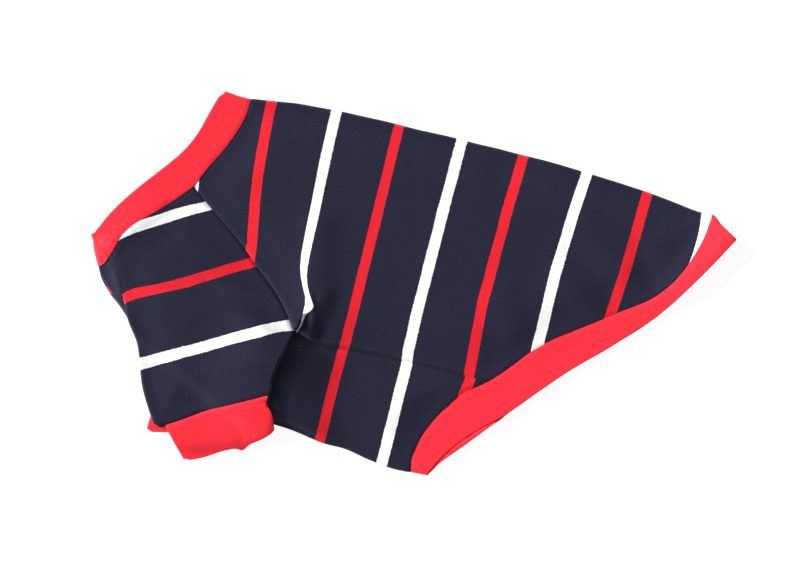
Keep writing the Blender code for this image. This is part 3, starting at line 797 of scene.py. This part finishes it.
def back_panel():
    """One piece over the back, folded at the centre back, down to the raglan and belly seams."""
    fold, outwards = drawn_fold(smooth(BACK_FOLD), seed=4.0)
    parts = [smooth(RAGLAN_BACK), smooth(BELLY_SEAM)]
    (near, far), over = panel_grids(fold, parts, smooth(NECK_BACK), smooth(HEM_BACK), BACK_ARMPIT)
    near_cloth, far_cloth = back_cloth(near, puckered=True), back_cloth(far, puckered=False)
    relief = (
        loft(near, [BACK_FOLD, RAGLAN_BACK, BELLY_SEAM, NECK_BACK, HEM_BACK])
        + fold_roll(near, BACK_FOLD)
        + creased(near, BACK_CREASES + TAIL_LIFTS)
        + small_waves(near, seed=1.0)
        + seams(near, (RAGLAN_BACK, RAGLAN_DEPTHS), (BELLY_SEAM, BELLY_SEAM_DEPTHS, BELLY_SHOULDERS))
        + seams(near, (NECK_BACK, NECK_DEPTHS), (HEM_BACK, HEM_DEPTHS))
    )
    sleeve, turn = presence(near, FAR_SLEEVE_OUTLINE), armpit_turn(near)
    near = raised(near, 1 + 2 * sleeve * (1 + turn), JERSEY, relief)
    sleeve, turn = presence(far, FAR_SLEEVE_OUTLINE), armpit_turn(far)
    far = raised(far, 2 * sleeve * (1 - turn), JERSEY, creased(far, TAIL_LIFTS))
    middle, cloth = folded(near, far, near_cloth, far_cloth, outwards_at(outwards, over))
    return wall("back_knit", middle, cloth, JERSEY, closed=False)


def throat(points):
    """How far points lie from the near sleeve's front fold, and how near to the throat along it, to 1."""
    gap, share = nearest_on(points, thin(NEAR_SLEEVE_FRONT))
    return gap, faded(share, *THROAT_SPAN)


def throat_rise(points):
    """How far the chest panel stands up beside the near sleeve's fold, where a strip of it shows."""
    gap, nearness = throat(points)
    under = inside_of(points, np.array(NEAR_SLEEVE_OUTLINE, float))
    outside = np.exp(-((gap / THROAT_REACH) ** 1.5))
    return THROAT_RISE * nearness * np.where(under, faded(gap, THROAT_UNDER, THROAT_UNDER), outside)


def throat_dip(points):
    """How far the near sleeve goes down beside its front fold, to meet the chest panel."""
    gap, nearness = throat(points)
    return THROAT_DIP * nearness * faded(gap, 0, THROAT_DIP_REACH)


def belly_panel():
    """One piece under the chest and belly, folded at the centre front, up to the belly seams."""
    fold, outwards = drawn_fold(smooth(BELLY_FOLD), seed=9.0)
    parts = [smooth(RAGLAN_FRONT), smooth(BELLY_SEAM)]
    chest, hem = smooth(NECK_CHEST)[::-1], smooth(HEM_BELLY)[::-1]
    (near, far), over = panel_grids(fold, parts, chest, hem, BELLY_ARMPIT)
    near_cloth, far_cloth = belly_cloth(near), belly_cloth(far)
    roll = fold_roll(near, BELLY_FOLD)
    relief = (
        loft(near, [BELLY_FOLD, RAGLAN_FRONT, BELLY_SEAM, HEM_BELLY])
        + roll
        + creased(near, BELLY_CREASES)
        + small_waves(near, seed=2.0)
    ) * (1 - presence(near, NEAR_SLEEVE_OUTLINE))
    relief = (
        relief
        + seams(near, (BELLY_SEAM, BELLY_SEAM_DEPTHS), (HEM_BELLY, HEM_DEPTHS))
        + throat_rise(near)
        + ledge(near, LEDGE_REACH_BELLY) * (1 - roll / ROLL_HEIGHT)
    )
    near = raised(near, 1 + 2 * presence(near, FAR_SLEEVE_OUTLINE), JERSEY, relief)
    far = raised(far, 2 * presence(far, FAR_SLEEVE_OUTLINE), JERSEY)
    middle, cloth = folded(near, far, near_cloth, far_cloth, outwards_at(outwards, over))
    return wall("belly_knit", middle, cloth, JERSEY, closed=False)


def sleeve_grids(outer_top, inner_top, front, rear, bottom):
    """Outer and inner layers of a sleeve, from a first row at its front fold to a last one at its rear fold.

    They come with the directions out of both folds.
    """
    room = LAYER / 2 + JERSEY / 2
    front, rear, bottom = smooth(front), smooth(rear), smooth(bottom)
    front_out, rear_out = outwards_of(front, rear[-1]), outwards_of(rear, front[-1])
    front, rear = front - front_out * room, rear - rear_out * room
    bottom = moved_start(moved_end(bottom, rear[-1]), front[-1])
    length = (lengths_along(front)[-1] + lengths_along(rear)[-1]) / 2
    down = spaced(length, [0, length], *SLEEVE_COLUMNS)
    grids = []
    for top, rows in ((outer_top, SLEEVE_ROWS), (inner_top, FAR_SLEEVE_ROWS)):
        top = moved_start(moved_end(top, rear[0]), front[0])
        across = lengths_along(top)[-1]
        over = spaced(across, [0, across], *rows)
        grid = patch(at(top, over), at(bottom, over), at(front, down), at(rear, down), over, down)
        grids.append(drawn_in(grid, ["top", "bottom"]).transpose(1, 0, 2))
    return grids, outwards_at(front_out, down), outwards_at(rear_out, down)


def below_sleeve(points):
    """How many layers of cloth lie below the near sleeve and its cuff."""
    return 2 * presence(points, FAR_SLEEVE_OUTLINE) + 2 * presence(points, BELLY_OUTLINE)


def sleeve_left():
    """The near sleeve, which lies on the belly panel and the far sleeve."""
    top = joined(smooth(NECK_SLEEVE)[::-1], smooth(RAGLAN_BACK))
    (outer, inner), front_out, rear_out = sleeve_grids(
        top, smooth(RAGLAN_FRONT), NEAR_SLEEVE_FRONT, NEAR_SLEEVE_REAR, NEAR_CUFF_SEAM
    )
    relief = (
        loft(outer, [NEAR_SLEEVE_FRONT, RAGLAN_BACK, NECK_SLEEVE, NEAR_CUFF_SEAM])
        + fold_roll(outer, NEAR_SLEEVE_FRONT)
        + creased(outer, SLEEVE_CREASES)
        + small_waves(outer, seed=3.0)
        + seams(outer, (RAGLAN_BACK, RAGLAN_DEPTHS), (NECK_SLEEVE, NECK_DEPTHS))
        + seams(outer, (NEAR_CUFF_SEAM, CUFF_DEPTHS))
        + ledge(outer, LEDGE_REACH_SLEEVE)
        + neck_roll(outer, NECK_ROLL_REACH)
        - throat_dip(outer)
    )
    near = raised(outer, 1 + below_sleeve(outer), JERSEY, relief)
    far = raised(inner, below_sleeve(inner), JERSEY, ledge(inner, LEDGE_REACH_SLEEVE))
    middle, cloth = flat_tube(near, far, sleeve_cloth(outer), sleeve_cloth(inner), front_out, rear_out)
    return wall("sleeve_left_knit", middle, cloth, JERSEY, closed=True)


def sleeve_right():
    """The far sleeve, flat on the table."""
    top = joined(smooth(NECK_CHEST)[::-1], smooth(NECK_SLEEVE)[::-1], smooth(RAGLAN_BACK))
    under = smooth([NECK_CHEST[-1]] + RAGLAN_FRONT[1:])
    (outer, inner), front_out, rear_out = sleeve_grids(
        top, under, FAR_SLEEVE_FRONT, FAR_SLEEVE_REAR, FAR_CUFF_SEAM
    )
    near, far = raised(inner, 1.0, JERSEY), raised(outer, 0.0, JERSEY)
    near_cloth, far_cloth = (sleeve_cloth(grid, FAR_SLEEVE_SHIFT) for grid in (inner, outer))
    middle, cloth = flat_tube(near, far, near_cloth, far_cloth, front_out, rear_out)
    return wall("sleeve_right_knit", middle, cloth, JERSEY, closed=True)


def end_cut(line, end, across, room):
    """How much of a line to cut off at its end so that a bend of this room fits past it."""
    near, further = (line[0], line[LOOK_AHEAD]) if end == 0 else (line[-1], line[-1 - LOOK_AHEAD])
    run = (further - near) / np.hypot(*(further - near))
    return room / abs(run[0] * across[1] - run[1] * across[0])


def band_half(seam, edge, rooms, rows, corners, pulls, fine_from_end=0.0):
    """The grid of half a ribbed band. Each row runs across it, from its seam to its free edge.

    It comes with the rows' places round the opening and the columns' places across the band.
    """
    cuts = []
    for end, room in zip((0, -1), rooms):
        across = (edge[end] - seam[end]) / np.hypot(*(edge[end] - seam[end]))
        cuts.append([end_cut(line, end, across, room) for line in (seam, edge)])
    seam = trimmed(seam, cuts[0][0], cuts[1][0])
    edge = trimmed(edge, cuts[0][1], cuts[1][1])
    length, width = lengths_along(seam)[-1], np.hypot(*(at(edge, TENTHS) - at(seam, TENTHS)).T).mean()
    around = spaced(length, [0, length - fine_from_end, length], *rows)
    over = spaced(width, [0, width], *BAND_COLUMNS)[None, :, None]
    from_start, from_end = length * around + rooms[0], length * (1 - around) + rooms[1]
    cut = corner_cut(from_start, corners[0]) + corner_cut(from_end, corners[1])
    over = over * (1 - cut / width)[:, None, None]
    grid = at(seam, around)[:, None] * (1 - over) + at(edge, around)[:, None] * over
    return drawn_in(pulled(grid, pulls), ["left"]), length * around, width * over[len(over) // 2, :, 0]


def corner_cut(gap, radius):
    """How far a round corner draws the free edge in, this far from the end of a band."""
    return radius * (1 - np.sqrt(1 - np.clip(1 - gap / radius, 0, 1) ** 2))


def end_directions(grid, end):
    """The direction out of a band's end, at each point across it."""
    row, neighbour = (grid[0], grid[1]) if end == 0 else (grid[-1], grid[-2])
    return np.broadcast_to(outwards_of(row, neighbour.mean(axis=0)).mean(axis=0), row.shape)


def level(points):
    return np.zeros(points.shape[:2])


def on_far_layer(points):
    return np.ones(points.shape[:2])


def band(name, lines, layers, reliefs, corners, last_layers=1, pulls=(), fine_from_end=0.0):
    """A flattened ribbed ring, from pairs for its near half and its far one.

    The lines are its seam and its free edge. The layers and reliefs are functions of points. The cloth turns
    round this many last layers at the ring's end.
    """
    rooms = (LAYER / 2 + RIB / 2, last_layers * LAYER / 2 + RIB / 2)
    near, near_around, over = band_half(*lines[0], rooms, BAND_ROWS, corners, pulls, fine_from_end)
    far, far_around, _ = band_half(*lines[1], rooms, FAR_BAND_ROWS, corners, pulls)
    ends = [end_directions(near, end) for end in (0, -1)]
    near_cloth = np.stack(np.meshgrid(near_around, over, indexing="ij"), axis=-1)
    far_cloth = np.stack(np.meshgrid(far_around, over, indexing="ij"), axis=-1)
    near = raised(near, layers[0](near), RIB, reliefs[0](near))
    far = raised(far, layers[1](far), RIB, reliefs[1](far))
    middle, cloth = flat_tube(near, far, near_cloth, far_cloth, *ends, axis=0)
    return wall(name, middle, cloth, RIB, closed=True, free_edge=True)


def neckband():
    """The ribbed ring at the neck opening."""
    parts = [smooth(line) for line in (NECK_BACK, NECK_SLEEVE, NECK_CHEST)]
    seam, edge = joined(*parts), smooth(NECK_OUTER)

    def layers(points):
        start, end = np.array(THROAT_CREASE)
        run, off = (end - start) / np.hypot(*(end - start)), points - start
        gap = run[0] * off[..., 1] - run[1] * off[..., 0]
        beside = THROAT_RISE / (2 * LAYER) * np.exp(-((np.clip(gap, 0, None) / THROAT_REACH) ** 1.5))
        over_belly = presence(points, BELLY_OUTLINE) * np.where(gap < 0, 1.0, beside)
        return 1 + 2 * (presence(points, FAR_SLEEVE_OUTLINE) + over_belly)

    def relief(points):
        return (
            seams(points, (NECK_BACK + NECK_SLEEVE[1:], NECK_DEPTHS))
            + creased(points, NECK_CREASES)
            + neck_roll(points, NECK_WIDTH)
            + small_waves(points, seed=6.0)
        )

    lines, layers, reliefs = [(seam, edge)] * 2, (layers, level), (relief, level)
    return band("neck_rib", lines, layers, reliefs, NECK_CORNERS, THROAT_LAYERS, NECK_PULLS, THROAT_FROM_END)


def hem_band():
    """The ribbed ring round the rear opening."""
    seam = joined(smooth(HEM_BACK), smooth(HEM_BELLY))
    hem = thin(HEM_BACK + HEM_BELLY[1:], 80)
    near_outline = np.array(HEM_BACK + HEM_BELLY[1:] + HEM_OUTER[::-1], float)

    def lifted(points):
        return HEM_TILT * gap_to(points, hem) / HEM_WIDTH + creased(points, TAIL_LIFTS)

    def relief(points):
        dip = sewn_down(points, hem, HEM_DEPTHS)
        return lifted(points) + dip + creased(points, HEM_CREASES) + small_waves(points, seed=7.0)

    def far_relief(points):
        past = 1 - faded(gap_to(points, thin(HEM_OUTER)), FAR_CURL_FROM, FAR_CURL_REACH)
        return lifted(points) + FAR_CURL * np.where(inside_of(points, near_outline), 0, past)

    lines = [(seam, smooth(HEM_OUTER)), (seam, smooth(FAR_HEM_OUTER))]
    reliefs = (relief, far_relief)
    return band("hem_rib", lines, (on_far_layer, level), reliefs, HEM_CORNERS, pulls=HEM_PULLS)


def cuff_left():
    """The ribbed ring at the end of the near sleeve."""
    lines = [(smooth(NEAR_CUFF_SEAM[2:]), smooth(NEAR_CUFF_EDGE))] * 2

    def near_layers(points):
        return 1 + below_sleeve(points)

    def lifted(points):
        share = gap_to(points, thin(NEAR_CUFF_SEAM)) / CUFF_WIDTH
        lift = ledge(points, LEDGE_REACH_SLEEVE) * (1 - CUFF_DROP * share) - CUFF_TILT * share
        return np.maximum(lift, -LAYER * below_sleeve(points))

    def relief(points):
        dip = seams(points, (NEAR_CUFF_SEAM, CUFF_DEPTHS))
        return lifted(points) + dip + creased(points, CUFF_CREASES) + small_waves(points, seed=8.0)

    layers, reliefs = (near_layers, below_sleeve), (relief, lifted)
    return band("cuff_left_rib", lines, layers, reliefs, CUFF_CORNERS, pulls=CUFF_PULLS)


def cuff_right():
    """The ribbed ring at the end of the far sleeve."""
    lines = [(smooth(FAR_CUFF_SEAM), smooth(FAR_CUFF_EDGE))] * 2
    return band("cuff_right_rib", lines, (on_far_layer, level), (level, level), CUFF_CORNERS)


def new_material(name):
    material = bpy.data.materials.new(name)
    material.use_nodes = True
    return material, material.node_tree, material.node_tree.nodes["Principled BSDF"]


def maths(tree, operation, *values):
    """The result of a Math node on these numbers and sockets."""
    node = tree.nodes.new("ShaderNodeMath")
    node.operation = operation
    for socket, value in zip(node.inputs, values):
        if isinstance(value, (int, float)):
            socket.default_value = value
        else:
            tree.links.new(value, socket)
    return node.outputs["Value"]


def smooth_step(tree, value, low, high):
    """0 below low and 1 above high, with soft ends."""
    node = tree.nodes.new("ShaderNodeMapRange")
    node.interpolation_type = "SMOOTHSTEP"
    tree.links.new(value, node.inputs["Value"])
    node.inputs["From Min"].default_value = low
    node.inputs["From Max"].default_value = high
    return node.outputs["Result"]


def mixed(tree, share, first, second):
    """A colour between two, which are colours or sockets."""
    node = tree.nodes.new("ShaderNodeMix")
    node.data_type = "RGBA"
    tree.links.new(share, node.inputs[0])
    for socket, value in ((node.inputs[6], first), (node.inputs[7], second)):
        if isinstance(value, tuple):
            socket.default_value = (*value, 1.0)
        else:
            tree.links.new(value, socket)
    return node.outputs[2]


def cloth_map(tree):
    """The cloth's own coordinates in metres: as a vector, and each way by itself."""
    source = tree.nodes.new("ShaderNodeUVMap")
    source.uv_map = "cloth"
    split = tree.nodes.new("ShaderNodeSeparateXYZ")
    tree.links.new(source.outputs["UV"], split.inputs["Vector"])
    return source.outputs["UV"], split.outputs["X"], split.outputs["Y"]


def painted_shade_attribute(tree):
    """How dark the painted shade in the seams' valleys and the throat crease is, as kept on the mesh."""
    node = tree.nodes.new("ShaderNodeAttribute")
    node.attribute_name = "painted_seam_shade"
    return node.outputs["Fac"]


def noise_of(tree, vector, size, detail=1.0, lengthened=1.0, seed=0.0):
    """Noise from 0 to 1 with features of this size in metres, lengthened along the stripes."""
    scaled = tree.nodes.new("ShaderNodeVectorMath")
    scaled.operation = "MULTIPLY_ADD"
    tree.links.new(vector, scaled.inputs[0])
    scaled.inputs[1].default_value = (1 / size, 1 / (size * lengthened), 1 / size)
    scaled.inputs[2].default_value = (seed, seed * 1.7, seed * 0.3)
    node = tree.nodes.new("ShaderNodeTexNoise")
    tree.links.new(scaled.outputs["Vector"], node.inputs["Vector"])
    node.inputs["Scale"].default_value = 1.0
    node.inputs["Detail"].default_value = detail
    return node.outputs["Fac"]


def wavered(tree, value, vector, size, amount):
    """The value, moved to and fro by noise of this size, over this amount in all."""
    off = maths(tree, "SUBTRACT", noise_of(tree, vector, size), 0.5)
    return maths(tree, "MULTIPLY_ADD", off, amount, value)


def stitches(tree, courses, wales, course, wale):
    """The height of knitted loops, from 0 to 1: rows of small vees with grooves between them.

    The courses and wales are places up and across the knit, in metres. A loop is course high and wale wide,
    in millimetres.
    """
    column = maths(tree, "FRACT", maths(tree, "DIVIDE", wales, wale * MM))
    side = maths(tree, "MULTIPLY", maths(tree, "ABSOLUTE", maths(tree, "SUBTRACT", column, 0.5)), 2.0)
    slope = maths(tree, "MULTIPLY_ADD", side, 0.6, maths(tree, "DIVIDE", courses, course * MM))
    leg = maths(tree, "ABSOLUTE", maths(tree, "SINE", maths(tree, "MULTIPLY", slope, math.pi)))
    groove = maths(tree, "SUBTRACT", 1.0, maths(tree, "POWER", side, 4.0))
    return maths(tree, "MULTIPLY", leg, groove)


def bumped(tree, shader, height, distance, strength):
    bump = tree.nodes.new("ShaderNodeBump")
    bump.inputs["Strength"].default_value = strength
    bump.inputs["Distance"].default_value = distance
    tree.links.new(height, bump.inputs["Height"])
    tree.links.new(bump.outputs["Normal"], shader.inputs["Normal"])


def cotton(shader, sheen, tint):
    """A matt surface with a soft nap."""
    shader.inputs["Roughness"].default_value = 0.92
    shader.inputs["Specular IOR Level"].default_value = 0.12
    shader.inputs["Sheen Weight"].default_value = sheen
    shader.inputs["Sheen Roughness"].default_value = 0.55
    shader.inputs["Sheen Tint"].default_value = (*tint, 1.0)


def striped_knit():
    """Dark blue sweatshirt knit with red and white stripes by turns."""
    material, tree, shader = new_material("striped_knit")
    place, across, along = cloth_map(tree)

    # The stripes' edges step from loop to loop, and sway slowly.
    stepped = wavered(tree, across, place, size=0.0012, amount=0.0011)
    swayed = wavered(tree, stepped, place, size=0.02, amount=0.0008)
    number = maths(tree, "DIVIDE", swayed, PITCH * MM)
    nearest = maths(tree, "ROUND", number)
    off = maths(tree, "ABSOLUTE", maths(tree, "SUBTRACT", number, nearest))
    half, soft = STRIPE / PITCH / 2, EDGE_SOFTNESS / PITCH
    plain = smooth_step(tree, off, half - soft, half + soft)
    odd = maths(tree, "FLOORED_MODULO", nearest, 2.0)

    blotch = smooth_step(tree, noise_of(tree, place, 0.0011, detail=2.0, lengthened=1.3, seed=3.0), *BLOTCHES)
    lint = smooth_step(tree, noise_of(tree, place, 0.0016, seed=9.0), 0.76, 0.84)
    navy = mixed(tree, lint, mixed(tree, blotch, NAVY_DARK, NAVY), LINT)
    # painted shade in the seams' valleys: the navy goes near black there
    navy = mixed(tree, painted_shade_attribute(tree), navy, NAVY_PAINTED_SEAM_SHADE)
    red, white = mixed(tree, blotch, RED_DARK, RED), mixed(tree, blotch, WHITE_DARK, WHITE)
    colour = mixed(tree, plain, mixed(tree, odd, red, white), navy)
    tree.links.new(colour, shader.inputs["Base Color"])

    loops = stitches(tree, across, along, COURSE, WALE)
    fuzz = noise_of(tree, place, 0.0006, detail=3.0, seed=5.0)
    bumped(tree, shader, maths(tree, "MULTIPLY_ADD", fuzz, 0.6, loops), distance=0.00022, strength=0.6)
    cotton(shader, 0.16, NAVY_SHEEN)
    return material


def rib_knit():
    """Red ribbing, with ribs across each band."""
    material, tree, shader = new_material("rib_knit")
    place, around, over = cloth_map(tree)
    swayed = maths(tree, "MULTIPLY_ADD", noise_of(tree, place, 0.02), 0.0012, around)
    phase = maths(tree, "MULTIPLY", maths(tree, "DIVIDE", swayed, RIB_PITCH * MM), 2 * math.pi)
    rib = maths(tree, "MULTIPLY_ADD", maths(tree, "COSINE", phase), 0.5, 0.5)
    mottle = noise_of(tree, place, 0.003, detail=3.0, seed=4.0)
    # painted shade: the red darkens in the grooves between the ribs, and varies at random with the mottle
    shade = maths(tree, "MULTIPLY_ADD", rib, 0.6, maths(tree, "MULTIPLY", mottle, 0.5))
    colour = mixed(tree, smooth_step(tree, shade, 0.1, 0.75), RIB_RED_GROOVE_SHADE_AND_MOTTLE, RIB_RED)
    # painted shade: the red darkens at the throat crease and beside the hem seam
    tree.links.new(mixed(tree, painted_shade_attribute(tree), colour, RIB_PAINTED_SEAM_SHADE), shader.inputs["Base Color"])

    loops = stitches(tree, over, swayed, RIB_COURSE, RIB_PITCH / 2)
    fuzz = noise_of(tree, place, 0.0005, detail=3.0, seed=6.0)
    height = maths(tree, "MULTIPLY_ADD", loops, 0.25, maths(tree, "MULTIPLY_ADD", fuzz, 0.3, rib))
    bumped(tree, shader, height, distance=0.00025, strength=0.5)
    cotton(shader, 0.14, RIB_SHEEN)
    return material


def floor():
    """A plain pale table top."""
    bpy.ops.mesh.primitive_plane_add(size=FLOOR_SIZE, location=(0, 0, -FLOOR_SINK))
    plane = bpy.context.object
    plane.name = "floor"
    material, _, shader = new_material("floor")
    shader.inputs["Base Color"].default_value = (FLOOR_GREY, FLOOR_GREY, FLOOR_GREY, 1.0)
    shader.inputs["Roughness"].default_value = 0.9
    shader.inputs["Specular IOR Level"].default_value = 0.0
    shader.inputs["Emission Color"].default_value = (1.0, 1.0, 1.0, 1.0)
    shader.inputs["Emission Strength"].default_value = FLOOR_GLOW
    plane.data.materials.append(material)
    return plane


def point_camera():
    """Straight down over the middle of the photograph, which is turned a little against the shirt."""
    lens = bpy.data.cameras.new("camera")
    lens.lens = LENS
    camera = bpy.data.objects.new("camera", lens)
    camera.location = (*CAMERA_OVER, CAMERA_HEIGHT)
    camera.rotation_euler = (0, 0, math.radians(CAMERA_TURN))
    bpy.context.scene.collection.objects.link(camera)
    bpy.context.scene.camera = camera


def light():
    """One soft key light from the upper left of the photograph, and even light from all round."""
    world = bpy.data.worlds.new("studio")
    bpy.context.scene.world = world
    world.use_nodes = True
    world.node_tree.nodes["Background"].inputs["Color"].default_value = (1.0, 1.0, 1.0, 1.0)
    world.node_tree.nodes["Background"].inputs["Strength"].default_value = AMBIENT
    key = bpy.data.lights.new("key", "SUN")
    key.energy = KEY_STRENGTH
    key.angle = math.radians(KEY_SPREAD)
    lamp = bpy.data.objects.new("key", key)
    turn = math.radians(CAMERA_TURN + KEY_FROM)
    rise = math.radians(KEY_RISE)
    towards = Vector((math.cos(turn) * math.cos(rise), math.sin(turn) * math.cos(rise), math.sin(rise)))
    lamp.rotation_euler = towards.to_track_quat("Z", "Y").to_euler()
    bpy.context.scene.collection.objects.link(lamp)
    bpy.context.scene.view_settings.view_transform = "Standard"


KNIT, RIBBING = striped_knit(), rib_knit()
FLOOR = floor()
PIECES = [
    # piece, node, slot, size of the flat cut in metres, and its area where that isn't length by width
    (back_panel(), "back_panel", "striped_knit", (0.43, 0.37), 0.1085),
    (belly_panel(), "belly_panel", "striped_knit", (0.30, 0.18), 0.0358),
    (sleeve_left(), "sleeve_left", "striped_knit", (0.20, 0.20), 0.0276),
    (sleeve_right(), "sleeve_right", "striped_knit", (0.19, 0.20), 0.0249),
    (neckband(), "neckband", "rib_knit", (0.33, 0.025), None),
    (hem_band(), "hem_band", "rib_knit", (0.60, 0.026), None),
    (cuff_left(), "cuff_left", "rib_knit", (0.19, 0.029), None),
    (cuff_right(), "cuff_right", "rib_knit", (0.17, 0.0275), None),
]
for piece, node, slot, flat, area in PIECES:
    piece.data.materials.append(KNIT if slot == "striped_knit" else RIBBING)
    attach(piece, "root")
    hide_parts(node)

point_camera()
light()
